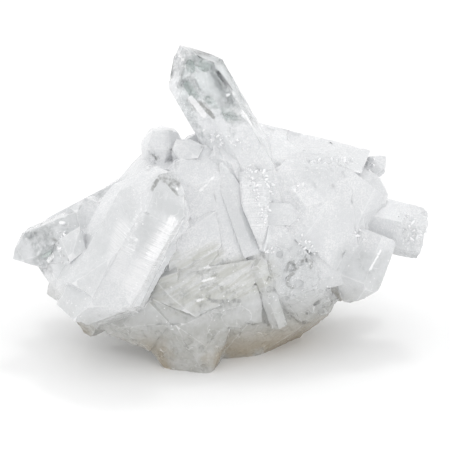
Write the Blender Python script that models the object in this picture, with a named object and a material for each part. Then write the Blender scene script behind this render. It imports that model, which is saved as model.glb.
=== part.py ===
"""Quartz crystal cluster, about 100 mm across and 72 mm tall, grown as one piece.

Milky crystals have grown into one another around a massive core, and three clear
points stand out of them. Each crystal is a six-sided prism cut by planes, as quartz
grows: three large and three small faces close its point. Broken masses are hulls of
their own corners, conchoidal breaks are shallow scoops, and everything is fused by
Boolean modifiers into one solid that rests on a flat break.

The origin is in the middle of that flat foot, +Z is up and the front looks along -Y.
"""
import math
import random

import bmesh
import bpy
from mathutils import Matrix, Vector

# ---------------------------------------------------------------- driving dimensions
# Every length below is in millimetres.
MM = 0.001
POINT_SLOPE = math.radians(51.8)    # lean of a quartz point's faces from the base plane
SMALL_FACE_SHARE = 0.09             # how far out the small faces sit, of the width
POINT_WOBBLE = 0.04                 # unevenness of the six point faces, of the width
PRISM_WOBBLE = 0.07                 # unevenness of the six prism faces, of their reach
BREAK_LEAN = 0.35                   # how far a broken end may lean
BURIED = 4.0                        # length that a root runs on inside the mass
STEP_WIDTH = (0.28, 0.5)            # a growth step's width, as a share of its crystal's
STEP_LOWER = (0.25, 0.6)            # how far it stops short, as a share of the length
STEP_SUNK = 0.32                    # how far it sits in its crystal, of its own width
DRUSE_LEAN = 0.6                    # how far a druse crystal may lean
DRUSE_WIDTH = (0.6, 1.3)            # its width, as a share of its patch's width
DRUSE_RISE = (0.6, 1.1)             # how far it stands out, as a share of its width
GROUND_BLOCK = (160.0, 120.0, 30.0)  # the block that cuts the foot flat

FRONT = Vector((0.0, -1.0, 0.36))

MILKY = (0.86, 0.87, 0.88, 1.0)

# The crystals: tip, root, distance between opposite prism faces, turn of the first
# prism face about the axis away from the front (degrees), and how much of the point
# is broken off. Turns 60 apart swap the large and the small faces of the point.
CRYSTALS = {
    "tall_point": ((-9.6, 7.0, 71.9), (10.6, -4.5, 39.1), 12.9, 72, 0.0),
    "left_point": ((-49.0, -9.0, 24.4), (-17.0, 0.0, 35.8), 10.2, 20, 0.0),
    "left_slope": ((-44.5, 4.5, 21.8), (-9.5, 4.0, 41.3), 10.0, 35, 0.0),
    "front_blade": ((-13.4, -12.7, 49.1), (-32.8, -18.0, 9.9), 21.0, 27, 0.0),
    "blade_rib": ((-7.9, -18.6, 37.7), (-17.1, -20.2, 20.8), 2.6, 20, 0.0),
    "slope_block": ((-29.5, -3.0, 39.0), (-35.0, -4.0, 16.0), 12.0, 12, 2.0),
    "front_point": ((-10.7, -16.2, 48.6), (-28.4, -21.3, 17), 15.5, 15, 0.0),
    "column_left": ((-8.0, -1.0, 51.5), (0.5, -8.5, 22.0), 16.0, 4, 2.5),
    "column_right": ((-1.0, -2.0, 52.0), (9.5, -12.0, 24.0), 9.0, 22, 1.5),
    "neck": ((0.5, 0.0, 56.0), (11.0, -3.0, 32.0), 15.0, 14, 6.0),
    "wedge": ((8.6, -14.5, 25.0), (8.1, -8.1, 41.5), 9.6, 8, 0.0),
    "rib": ((8.2, -16.4, 28.0), (12.6, -15.4, 13.5), 4.2, 20, 1.0),
    "right_back": ((31.0, 12.0, 47.5), (14.0, 4.0, 26.0), 18.0, 10, 4.0),
    "right_block": ((20.0, -2.0, 52.0), (24.0, -2.0, 22.0), 21.0, 18, 7.0),
    "right_flank": ((34.5, 2.0, 44.0), (30.0, 4.0, 22.0), 13.0, 40, 2.0),
    "right_corner": ((39.6, 8.0, 44.2), (30.0, 6.0, 36.0), 5.0, 0, 0.0),
    "right_stub": ((54.0, 0.0, 26.0), (30.0, 2.5, 31.0), 11.6, 15, 6.0),
    "low_prism": ((30.0, -10.0, 12.6), (35.2, -5.5, 25.5), 10.4, 18, 1.0),
    "back_left": ((-31.0, 30.0, 27.0), (-4.0, 4.0, 22.0), 13.0, 10, 0.0),
    "back_middle": ((0.0, 37.0, 37.0), (2.0, 2.0, 18.0), 12.0, 25, 0.0),
    "back_right": ((29.0, 33.0, 31.0), (12.0, 4.0, 20.0), 14.0, 65, 2.0),
    "back_low": ((-24.0, 30.0, 15.0), (0.0, 2.0, 18.0), 9.5, 40, 0.0),
    "back_side": ((43.0, 18.0, 20.0), (14.0, 4.0, 22.0), 9.0, 30, 0.0),
    "back_stem": ((15.0, 37.0, 20.0), (10.0, 4.0, 14.0), 9.0, 15, 0.0),
    "back_blade": ((14.0, 24.0, 43.0), (6.0, 2.0, 24.0), 9.0, 35, 0.0),
    "back_slab": ((-15.0, 24.0, 40.0), (-6.0, 6.0, 14.0), 12.0, 55, 3.0),
    "left_back": ((-41.5, 17.0, 21.0), (-14.0, 4.0, 25.0), 9.0, 5, 0.0),
    "saddle": ((-7.5, 5.0, 52.0), (-6.0, 2.0, 40.0), 5.0, 20, 1.5),
    "back_top": ((-7.0, 21.0, 44.5), (-2.0, 4.0, 28.0), 9.0, 50, 1.5),
    "base_left": ((-9.0, 33.0, 8.0), (0.0, 8.0, 12.0), 8.5, 12, 0.0),
    "base_right": ((17.0, 30.0, 8.0), (6.0, 8.0, 12.0), 8.0, 45, 1.0),
    "left_low": ((-37.0, 12.0, 11.0), (-12.0, 2.0, 20.0), 8.0, 25, 1.0),
    "side_low": ((34.0, 12.0, 8.0), (12.0, 4.0, 18.0), 8.5, 50, 0.0),
}

# Flat breaks across a crystal: a point on the break and the way it faces.
BREAKS = {
    "front_blade": (
        ((-16.3, -16.2, 45.3), (-0.66, -0.31, 0.69)),
        ((-12.2, -14.7, 47.3), (0.1, -0.1, 1.0)),
        ((-13.7, -12.8, 48.6), (0.34, -1.06, 1.1)),
        ((-35.6, -19.7, 20.6), (-0.69, -0.58, -0.56)),
        ((-24.0, -21.7, 14.8), (0.3, -0.51, -0.82)),
    ),
    "front_point": (
        ((-24.0, -24.0, 15.6), (0.3, -0.51, -0.82)),
    ),
    "wedge": (
        ((3.8, -15.5, 41.8), (-0.92, -0.13, -0.37)),
        ((12.1, -14.0, 40.8), (0.97, -0.07, -0.21)),
    ),
}

# The broken masses: the corners of each one's hull.
MASSES = {
    "core": (
        (-30, -9, 26), (-20, -9, 34), (-26, 4, 36), (-18, 7, 44), (-9, 8, 46), (10, 8, 47),
        (28, 12, 42), (36, 6, 37), (38, 0, 22), (30, -6, 18), (18, -12, 26),
        (2, -12, 30), (-8, -10, 29), (-24, -12, 12), (-15, -16, 5), (-8, 20, 30),
        (18, 20, 30), (26, 15, 16), (-20, 14, 18), (14, 14, 1), (-10, 16, 1), (8, -10, 5),
    ),
    "foot": (
        (-12, -18.5, -2), (-3, -21, -2), (-14.5, -19, 6), (-3.5, -21.5, 7), (-19, -8, 5),
        (-15, 12, -2), (-4, 20, -2), (4, 17, -2), (-2.5, -12, -2), (-24, -14, 12),
        (-20, 10, 14), (16, 18, 14), (4, -16, 14), (-10.8, -22.5, 13),
    ),
    "brown_foot": (
        (-2, -12, -2), (6.5, -10.5, -2), (12.5, -4, -2), (17.5, 1.5, -2), (14, 15, -2),
        (1, 12, -2), (5, -16.5, 9), (13, -12.5, 8), (20, -8.5, 7), (26, -2.5, 6.8),
        (28.5, -4, 12), (20, 16, 12), (11, -15.5, 16), (0, -18, 14),
    ),
    "left_ledge": (
        (-27, -15.5, 7.4), (-20.5, -17, 5.6), (-17, -17.5, 3.8), (-33, -13, 12),
        (-17, -20.5, 18), (-24, -19.5, 11), (-12, -22, 13), (-30, -4, 14), (-14, -10, 22),
        (-12, -6, 6),
    ),
    "left_corner": (
        (-44, -8, 22.4), (-42, -9, 19.5), (-40, -10, 17), (-36, -12, 14), (-38, -4, 27),
        (-43, -4, 23), (-34, 0, 16), (-36, -13, 22), (-30, -6, 26), (-40, -2, 19),
        (-37.7, -13.5, 31.2), (-32.8, -15.5, 34.9), (-35.1, -18.5, 27.1), (-31.4, -18, 29.9),
    ),
    "lower_plate": (
        (-13.8, -20, 21.2), (-11, -21.5, 18.8), (-5.9, -23.5, 15.2), (-2.7, -21.5, 17.8),
        (6.6, -18, 19.4), (8.5, -17, 22.5), (8.5, -16, 27), (-0.4, -16.8, 25.8),
        (-5, -17.4, 24.5), (-10.6, -17.5, 23.2), (-16.5, -17.5, 23.5), (-17, -19, 18.5),
        (-8, -8, 16), (6, -8, 14), (-8, -8, 22), (6, -6, 24),
    ),
    "upper_plate": (
        (-10.6, -17.4, 23.8), (-9.2, -16.4, 26.5), (-5, -15.6, 29.1), (-1.1, -15.5, 29.5),
        (-0.8, -16, 28.3), (-4.1, -18, 24.7), (-8, -8, 21), (2, -8, 21), (0, -12, 22),
        (-9, -9, 27), (-1, -8, 29),
    ),
    "middle_step": (
        (-7.3, -12.8, 36.6), (-1.3, -13.4, 37.8), (0.1, -15.8, 29.6), (-8.3, -17, 25.5),
        (-10.2, -15, 29.3), (-7.5, -6, 34.2), (-1.3, -6, 34.2), (-0.4, -8, 26.1),
        (-9.9, -8, 23.6), (-12.4, -18.6, 27.1), (-11.5, -17.2, 32.1), (-12, -18.2, 23.5),
    ),
    "apron": (
        (-12.5, -20, 17.5), (-10.8, -21.3, 14.2), (-6.2, -22, 14), (0.8, -20, 17.2),
        (6.6, -17.6, 19.3), (9.4, -16.5, 20.8), (9.5, -16.5, 11.2), (0.8, -18.8, 9.6),
        (-6.2, -21, 10.1), (-12, -22, 11.5), (-8, -10, 16), (6, -8, 16), (8, -10, 10),
        (-10, -12, 10), (-16.2, -19.6, 18.3), (-14.8, -20.8, 13.5),
    ),
    "rough_mass": (
        (11, -15.5, 26), (16, -17.5, 24), (13, -18, 19.5), (21, -15.5, 26), (22, -15.5, 19),
        (26, -10, 18), (27, -8, 12.5), (18.5, -14.5, 17), (20, -9.5, 7), (12, -15.5, 16),
        (9.5, -16, 23), (14, 0, 12), (22, 0, 24), (9, -6, 30), (27, -4, 11),
        (10.8, -13.6, 34), (14.5, -14.6, 33), (17.3, -15.2, 30.6), (11, -8.5, 36.5),
        (9.9, -15.6, 31.5), (11.5, -13.6, 37.7), (18.3, -14.8, 31.2), (22.1, -13.6, 25.2),
    ),
    "right_face": (
        (15, -6, 48), (29, -8, 47), (36.5, -3, 40), (40.5, 2, 34.5), (18, -16, 30.5),
        (27, -12, 22.5), (31, -10, 30), (10, -10.5, 35.5), (12, -8, 46), (23, -14, 37),
        (33, -8.5, 35), (20, 6, 30), (34, 6, 30), (12, 8, 44), (38, 4, 24),
    ),
    "right_ridge": (
        (8.5, 4, 54), (12, 8, 51), (16, 8, 50.8), (18.5, 8, 49), (28.5, 8, 47.8),
        (36, 8, 45.8), (12, -6, 47.5), (33, -4, 44), (14, 16, 42), (34, 14, 38), (22, 0, 36),
    ),
    "shoulder": (
        (-28, 4, 36), (-24.5, 5, 39.8), (-21, 6, 43.8), (-18.5, 7, 46), (-9, 8, 47.5),
        (-1.5, 5, 48), (-17, -5, 45.5), (-8.5, -7, 46), (-26, -6, 30), (-8, -10, 30),
        (-12, 14, 36),
    ),
    "saddle_web": (
        (-10.7, -2.5, 51.9), (-7.4, -1.5, 51.6), (-4.1, -3.5, 50.5), (-5.5, -6.5, 48.5),
        (-9.7, -5.5, 47.7), (-11.7, -3.5, 49.5), (-12, 6, 48), (-6, 6, 49), (-4, 2, 44),
        (-12, 2, 42), (-13, 6, 44),
    ),
    "lump": (
        (-17.8, 4, 51.4), (-16.4, 2, 52.6), (-12.6, 2, 52.8), (-10.4, 4, 51.6),
        (-11.4, 8, 51.4), (-14.4, 9, 51.8), (-17.2, 7, 51.6), (-19.3, 3, 49.2),
        (-17.8, -1, 49.2), (-12.4, -2, 49.2), (-9, 2, 49), (-9.4, 9, 48), (-14.4, 12, 47.5),
        (-19.2, 9, 48.2), (-19.2, 4, 43), (-9, 4, 43), (-14.4, -3, 44), (-14, 12, 40),
    ),
    "back_foot": (
        (-12, 16, 2), (6, 21, 3), (16, 15, 2), (-18, 14, 14), (-4, 25, 12), (12, 24, 12),
        (24, 14, 14), (2, 24, 22), (-10, 20, 26), (18, 18, 26), (0, 0, 8),
    ),
}

# Conchoidal breaks: centre, radii of the scoop, and the way its depth faces.
SCOOPS = (
    ((-25.5, -30.5, 17.0), (8.5, 7.0, 3.0), (0.1, 0.85, 0.5)),
    ((-5.0, -21.0, 30.5), (8.5, 5.5, 3.6), (-0.1, 0.75, -0.6)),
    ((2.5, -23.5, 24.5), (9.5, 5.0, 2.6), (-0.2, 0.8, -0.5)),
    ((-7.0, -25.0, 10.0), (8.0, 6.0, 3.0), (0.0, 0.9, 0.3)),
    ((6.0, -20.5, 13.5), (6.5, 5.0, 3.0), (-0.1, 0.9, 0.2)),
    ((24.0, 3.0, 51.0), (9.0, 7.0, 3.2), (0.0, 0.1, -1.0)),
    ((26.0, 26.0, 18.0), (9.0, 8.0, 4.0), (-0.4, -0.8, 0.1)),
    ((-22.0, 20.0, 28.0), (7.0, 6.0, 3.0), (0.5, -0.8, -0.2)),
    ((2.0, 28.0, 8.0), (7.0, 6.0, 4.0), (0.0, -0.9, 0.3)),
)

# Crystals with parallel growth on their sides, and how many steps each has.
STEPPED = {
    "right_back": 4,
    "right_block": 4,
    "slope_block": 3,
    "column_left": 2,
    "back_middle": 3,
    "back_right": 3,
    "back_left": 3,
    "back_slab": 4,
    "back_stem": 2,
}

# Patches of small crystals: centre, outward direction, spread, count, width.
DRUSES = {
    "pitted_patch": ((17.5, -14.0, 23.0), (0.1, -1.0, 0.1), 6.0, 14, 3.2),
    "corner_patch": ((23.5, -9.5, 14.0), (0.6, -0.8, -0.1), 3.0, 6, 2.6),
    "left_patch": ((-35.0, -7.0, 31.0), (-0.4, -0.7, 0.5), 2.5, 5, 2.6),
    "back_patch": ((8.0, 21.0, 30.0), (0.0, 0.9, 0.5), 8.0, 14, 4.5),
    "side_patch": ((30.0, 10.0, 18.0), (0.8, 0.4, -0.2), 6.0, 8, 4.0),
    "under_patch": ((-22.0, 4.0, 14.0), (-0.8, 0.2, -0.4), 6.0, 8, 4.0),
}


def clear_scene():
    for item in list(bpy.data.objects):
        bpy.data.objects.remove(item, do_unlink=True)


def group(name):
    """A collection that holds the shapes of one Boolean step."""
    made = bpy.data.collections.new(name)
    bpy.context.scene.collection.children.link(made)
    return made


def place(bm, name, home):
    """Turns a bmesh in millimetres into an object in metres."""
    bmesh.ops.recalc_face_normals(bm, faces=bm.faces)
    bmesh.ops.scale(bm, vec=(MM, MM, MM), verts=bm.verts)
    mesh = bpy.data.meshes.new(name)
    bm.to_mesh(mesh)
    bm.free()
    item = bpy.data.objects.new(name, mesh)
    home.objects.link(item)
    item.hide_render = True
    item.display_type = "WIRE"
    return item


def cut(bm, point, normal):
    """Takes away what lies beyond a plane and closes the cut with one flat face."""
    everything = bm.verts[:] + bm.edges[:] + bm.faces[:]
    found = bmesh.ops.bisect_plane(bm, geom=everything, dist=1e-5, plane_co=point,
                                   plane_no=normal, clear_outer=True)
    rim = [part for part in found["geom_cut"] if isinstance(part, bmesh.types.BMEdge)]
    open_rim = [edge for edge in rim if edge.is_boundary]
    if open_rim:
        bmesh.ops.contextual_create(bm, geom=open_rim)


def axis_frame(tip, root, turn):
    """The long axis and the direction of the first prism face."""
    axis = (Vector(tip) - Vector(root)).normalized()
    first = (FRONT - axis * FRONT.dot(axis)).normalized()
    first.rotate(Matrix.Rotation(math.radians(turn), 3, axis))
    return axis, first


def crystal(name, tip, root, width, turn, broken, home, breaks=()):
    """One quartz crystal: a hexagonal prism closed by six sloping faces."""
    chance = random.Random(name)
    tip = Vector(tip)
    axis, first = axis_frame(tip, root, turn)
    base = Vector(root) - axis * BURIED
    bm = bmesh.new()
    bmesh.ops.create_cube(bm, size=2.0 * (tip - base).length + 4.0 * width)
    bmesh.ops.translate(bm, vec=base, verts=bm.verts)
    cut(bm, base, -axis)
    for side in range(6):
        around = Matrix.Rotation(math.radians(60 * side), 3, axis)
        outward = around @ first
        reach = 0.5 * width * (1.0 + chance.uniform(-PRISM_WOBBLE, PRISM_WOBBLE))
        cut(bm, base + outward * reach, outward)
        slope = outward * math.sin(POINT_SLOPE) + axis * math.cos(POINT_SLOPE)
        stand_out = width * SMALL_FACE_SHARE * (side % 2)
        stand_out += width * chance.uniform(0.0, POINT_WOBBLE)
        cut(bm, tip + slope * stand_out, slope)
    if broken:
        lean = Vector([chance.uniform(-BREAK_LEAN, BREAK_LEAN) for _ in range(3)])
        cut(bm, tip - axis * broken, (axis + lean).normalized())
    for point, way in breaks:
        cut(bm, point, Vector(way).normalized())
    return place(bm, name, home)


def growth_steps(name, tip, root, width, turn, count, home):
    """Thin crystals side by side with a larger one, parallel to it and shorter."""
    chance = random.Random(name + "_steps")
    axis, first = axis_frame(tip, root, turn)
    length = (Vector(tip) - Vector(root)).length
    for number in range(count):
        angle = math.radians(chance.uniform(0, 360))
        sideways = Matrix.Rotation(angle, 3, axis) @ first
        thin = width * chance.uniform(*STEP_WIDTH)
        shift = sideways * (0.5 * width - STEP_SUNK * thin)
        lower = axis * length * chance.uniform(*STEP_LOWER)
        crystal(f"{name}_step_{number}", Vector(tip) + shift - lower,
                Vector(root) + shift, thin, turn, chance.choice((0.0, 1.0)), home,
                BREAKS.get(name, ()))


def mass(name, corners, home):
    """A broken, massive piece of quartz: the hull of its corners."""
    bm = bmesh.new()
    for corner in corners:
        bm.verts.new(corner)
    bmesh.ops.convex_hull(bm, input=bm.verts)
    loose = [vert for vert in bm.verts if not vert.link_faces]
    bmesh.ops.delete(bm, geom=loose, context="VERTS")
    return place(bm, name, home)


def druse(name, centre, outward, spread, count, width, home):
    """A patch of small crystals that point out of a broken face."""
    chance = random.Random(name)
    centre = Vector(centre)
    outward = Vector(outward).normalized()
    side = outward.orthogonal().normalized()
    other = outward.cross(side)
    for number in range(count):
        angle = chance.uniform(0, math.tau)
        away = spread * math.sqrt(chance.random())
        foot = centre + (side * math.cos(angle) + other * math.sin(angle)) * away
        lean = Vector([chance.uniform(-DRUSE_LEAN, DRUSE_LEAN) for _ in range(3)])
        points_to = (outward + lean).normalized()
        thick = width * chance.uniform(*DRUSE_WIDTH)
        crystal(f"{name}_{number}", foot + points_to * thick * chance.uniform(*DRUSE_RISE),
                foot - points_to * thick, thick, chance.uniform(0, 60), 0.0, home)


def scoop(name, centre, radii, depth_way, home):
    """A shallow rounded cutter for a conchoidal break."""
    bm = bmesh.new()
    bmesh.ops.create_icosphere(bm, subdivisions=2, radius=1.0)
    bmesh.ops.scale(bm, vec=radii, verts=bm.verts)
    turned = Vector(depth_way).to_track_quat("Z", "Y").to_matrix()
    bmesh.ops.rotate(bm, verts=bm.verts, matrix=turned)
    bmesh.ops.translate(bm, vec=centre, verts=bm.verts)
    return place(bm, name, home)


def ground(home):
    """The block under the cluster that cuts its foot flat."""
    bm = bmesh.new()
    bmesh.ops.create_cube(bm, size=1.0)
    bmesh.ops.scale(bm, vec=GROUND_BLOCK, verts=bm.verts)
    bmesh.ops.translate(bm, vec=(0.0, 0.0, -0.5 * GROUND_BLOCK[2]), verts=bm.verts)
    return place(bm, "ground", home)


def quartz():
    material = bpy.data.materials.new("milky_quartz")
    material.use_nodes = True
    shader = material.node_tree.nodes["Principled BSDF"]
    shader.inputs["Base Color"].default_value = MILKY
    shader.inputs["Roughness"].default_value = 0.14
    shader.inputs["Metallic"].default_value = 0.0
    shader.inputs["IOR"].default_value = 1.544
    shader.inputs["Transmission Weight"].default_value = 0.4
    return material


def boolean(item, name, operation, operands):
    step = item.modifiers.new(name, "BOOLEAN")
    step.operation = operation
    step.solver = "EXACT"
    step.operand_type = "COLLECTION"
    step.collection = operands


def build():
    clear_scene()
    grown = group("grown_together")
    broken_off = group("broken_off")
    flat = group("flat_foot")

    for name, (tip, root, width, turn, broken) in CRYSTALS.items():
        crystal(name, tip, root, width, turn, broken, grown, BREAKS.get(name, ()))
    for name, count in STEPPED.items():
        tip, root, width, turn, _ = CRYSTALS[name]
        growth_steps(name, tip, root, width, turn, count, grown)
    for name, corners in MASSES.items():
        if name != "core":
            mass(name, corners, grown)
    for name, patch in DRUSES.items():
        druse(name, *patch, grown)
    for number, (centre, radii, depth_way) in enumerate(SCOOPS):
        scoop(f"scoop_{number}", centre, radii, depth_way, broken_off)
    ground(flat)

    cluster = mass("quartz_cluster", MASSES["core"], bpy.context.scene.collection)
    cluster.hide_render = False
    cluster.display_type = "TEXTURED"
    cluster.data.materials.append(quartz())
    boolean(cluster, "grow together", "UNION", grown)
    boolean(cluster, "break", "DIFFERENCE", broken_off)
    boolean(cluster, "flat foot", "DIFFERENCE", flat)


build()
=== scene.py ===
# %% [markdown]
# # A quartz crystal cluster
# A hand-sized cluster of quartz: milky crystals grown into one another, with clear points
# that stand out of them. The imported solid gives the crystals, ledges and breaks their
# place and size. This script gives them the fine surface, the clear and milky zones, the
# rust stain under the foot and the white veils that show inside the clear points.

import math

import bmesh
import bpy
import numpy as np
from mathutils import Matrix, Vector, noise


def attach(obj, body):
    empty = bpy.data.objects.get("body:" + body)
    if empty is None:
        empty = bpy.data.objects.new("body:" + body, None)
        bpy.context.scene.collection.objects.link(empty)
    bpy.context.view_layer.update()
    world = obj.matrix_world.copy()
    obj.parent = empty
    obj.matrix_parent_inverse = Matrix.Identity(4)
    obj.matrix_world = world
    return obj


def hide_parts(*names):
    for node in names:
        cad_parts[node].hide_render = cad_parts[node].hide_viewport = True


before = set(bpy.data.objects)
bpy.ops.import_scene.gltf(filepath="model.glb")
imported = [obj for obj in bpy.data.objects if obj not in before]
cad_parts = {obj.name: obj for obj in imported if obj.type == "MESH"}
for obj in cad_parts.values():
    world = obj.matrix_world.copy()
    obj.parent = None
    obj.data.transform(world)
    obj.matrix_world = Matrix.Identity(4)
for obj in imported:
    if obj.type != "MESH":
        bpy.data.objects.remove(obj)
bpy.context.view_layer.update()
MM = 0.001

# %% [markdown]
# ## The camera
# The cluster is seen from the front, a little from above, with a long lens, as small
# specimens usually are: a long lens keeps the crystals' edges parallel.

# %% Camera
CAMERA_TARGET = Vector((0.8, 0.0, 29.5)) * MM
CAMERA_DISTANCE = 480 * MM
CAMERA_RISE = math.radians(20)
LENS_MM = 160
SENSOR_MM = 36


def add_camera():
    back = Vector((0.0, -math.cos(CAMERA_RISE), math.sin(CAMERA_RISE)))
    bpy.ops.object.camera_add(location=CAMERA_TARGET + back * CAMERA_DISTANCE)
    camera = bpy.context.active_object
    camera.rotation_mode = "QUATERNION"
    camera.rotation_quaternion = (-back).to_track_quat("-Z", "Y")
    camera.data.lens = LENS_MM
    camera.data.sensor_width = SENSOR_MM
    camera.data.clip_start = 0.01
    bpy.context.scene.camera = camera
    return camera


bpy.ops.object.select_all(action="DESELECT")
camera = add_camera()
print("camera at", [round(value / MM) for value in camera.location], "mm")

# %% [markdown]
# ## Floor and light
# White quartz on a white floor shows by its edges. A broad light from above and behind
# fills the crystals from the back, so that they glow, and the front stays a little
# darker, so that the faces that turn to the viewer reflect grey and part from the floor.

# %% Floor, sky and lamps
FLOOR_SIZE = 6.0
FLOOR_WHITE = (0.96, 0.96, 0.96, 1.0)
SKY_TOP = 1.38
SKY_FRONT = 1.12


def add_floor():
    bpy.ops.mesh.primitive_plane_add(size=FLOOR_SIZE, location=(0, 0, 0))
    floor = bpy.context.active_object
    floor.name = "floor"
    paint = bpy.data.materials.new("pale_floor")
    paint.use_nodes = True
    shader = paint.node_tree.nodes["Principled BSDF"]
    shader.inputs["Base Color"].default_value = FLOOR_WHITE
    shader.inputs["Roughness"].default_value = 0.9
    shader.inputs["Specular IOR Level"].default_value = 0.2
    floor.data.materials.append(paint)
    return floor


def add_sky():
    world = bpy.data.worlds.new("studio")
    bpy.context.scene.world = world
    world.use_nodes = True
    nodes, links = world.node_tree.nodes, world.node_tree.links
    nodes.clear()
    out = nodes.new("ShaderNodeOutputWorld")
    back = nodes.new("ShaderNodeBackground")
    way = nodes.new("ShaderNodeTexCoord")
    part = nodes.new("ShaderNodeSeparateXYZ")
    ramp = nodes.new("ShaderNodeMapRange")
    ramp.interpolation_type = "SMOOTHSTEP"
    ramp.inputs["From Min"].default_value = -1.0
    ramp.inputs["From Max"].default_value = 0.35
    ramp.inputs["To Min"].default_value = SKY_FRONT
    ramp.inputs["To Max"].default_value = SKY_TOP
    links.new(way.outputs["Generated"], part.inputs[0])
    links.new(part.outputs["Y"], ramp.inputs["Value"])
    links.new(ramp.outputs[0], back.inputs["Strength"])
    links.new(back.outputs[0], out.inputs["Surface"])


def add_softbox(name, place, size, power):
    bpy.ops.object.light_add(type="AREA", location=place)
    lamp = bpy.context.active_object
    lamp.name = name
    lamp.data.shape = "RECTANGLE"
    lamp.data.size, lamp.data.size_y = size
    lamp.data.energy = power
    lamp.rotation_mode = "QUATERNION"
    lamp.rotation_quaternion = (CAMERA_TARGET - Vector(place)).to_track_quat("-Z", "Y")
    return lamp


floor = add_floor()
add_sky()
add_softbox("top_softbox", (0.15, 0.3, 0.9), (0.16, 0.14), 0.75)
add_softbox("left_softbox", (-0.75, -0.15, 0.5), (0.12, 0.16), 0.5)
add_softbox("right_softbox", (0.5, -0.75, 0.5), (0.12, 0.16), 0.5)
bpy.context.scene.view_settings.view_transform = "Standard"
print("floor", FLOOR_SIZE, "m wide, three softboxes")

# %% [markdown]
# ## The cluster's own mesh
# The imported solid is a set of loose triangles, so a copy is merged at its corners. Then
# triangles that lie in one plane are joined: each face of a crystal becomes one polygon
# again, and its number is written down, so that later steps know which points lie on
# the same face of the crystal.

# %% A merged copy with whole crystal faces
FLAT_WITHIN = math.radians(0.6)
SAME_POINT = 1e-6


def merged_copy(node, name):
    bpy.ops.object.select_all(action="DESELECT")
    piece = bpy.data.objects.new(name, node.data.copy())
    bpy.context.scene.collection.objects.link(piece)
    piece.data.materials.clear()
    bpy.context.view_layer.objects.active = piece
    piece.select_set(True)
    bpy.ops.object.mode_set(mode="EDIT")
    bpy.ops.mesh.select_all(action="SELECT")
    bpy.ops.mesh.remove_doubles(threshold=SAME_POINT)
    bpy.ops.mesh.dissolve_limited(angle_limit=FLAT_WITHIN)
    bpy.ops.object.mode_set(mode="OBJECT")
    return piece


def number_faces(piece):
    numbers = piece.data.attributes.new("crystal_face", "INT", "FACE")
    numbers.data.foreach_set("value", range(len(piece.data.polygons)))


cluster = merged_copy(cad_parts["quartz_cluster"], "quartz")
number_faces(cluster)
print("whole faces on the cluster:", len(cluster.data.polygons))

# %% [markdown]
# ## The long direction of each face
# Growth lines on a quartz prism run straight across it, at right angles to its length.
# A prism face is longer than it is wide, so its longest edge gives the direction of
# growth. That direction and its normal are kept for each face.

# %% Long direction and size of each face
def face_facts(piece):
    mesh = piece.data
    long_way, normal, area = [], [], []
    for face in mesh.polygons:
        corners = [mesh.vertices[index].co for index in face.vertices]
        edges = [b - a for a, b in zip(corners, corners[1:] + corners[:1])]
        long_way.append(max(edges, key=lambda edge: edge.length).normalized())
        normal.append(face.normal.copy())
        area.append(face.area / MM**2)
    return np.array(long_way), np.array(normal), np.array(area)


face_long, face_normal, face_area = face_facts(cluster)
print("largest face %.0f mm2, median %.1f mm2" % (face_area.max(), np.median(face_area)))

# %% [markdown]
# ## Where the surface is broken
# Crystal faces are smooth as glass. Breaks, the foot and the pitted patch are rough. A
# rough spot is a ball: inside it the surface is rough, and it fades at its edge.

# %% Rough spots
ROUGH_SPOTS = (
    ("pitted patch", (17, -15, 22), 11.0, 1.0),
    ("pitted corner", (23, -9, 14), 8.0, 0.9),
    ("sparkling edge", (24, -6, 47), 9.0, 0.8),
    ("torn wedge top", (8, -12, 46), 4.5, 0.9),
    ("tall point's root", (3, 0, 50), 8.0, 0.7),
    ("lump's pits", (-15, -1, 45), 5.0, 0.7),
    ("broken plates", (-2, -20, 20), 10.0, 0.5),
    ("blade's broken end", (-27, -26, 13), 8.0, 0.5),
    ("left notch", (-34, -6, 31), 4.5, 0.7),
    ("back patch", (8, 20, 28), 12.0, 0.8),
    ("stub's end", (48, -1, 27), 12.0, 0.9),
)
FOOT_ROUGH_BELOW = 15.0


def roughness_at(points):
    """How broken the surface is at each point in millimetres, from 0 to 1."""
    found = np.clip((FOOT_ROUGH_BELOW - points[:, 2]) / 9.0, 0.0, 0.85)
    for _, centre, radius, strength in ROUGH_SPOTS:
        away = np.linalg.norm(points - np.array(centre), axis=1)
        found = np.maximum(found, strength * np.clip(1.6 - 1.6 * away / radius, 0.0, 1.0))
    return found


print(len(ROUGH_SPOTS), "rough spots and the foot")
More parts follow.
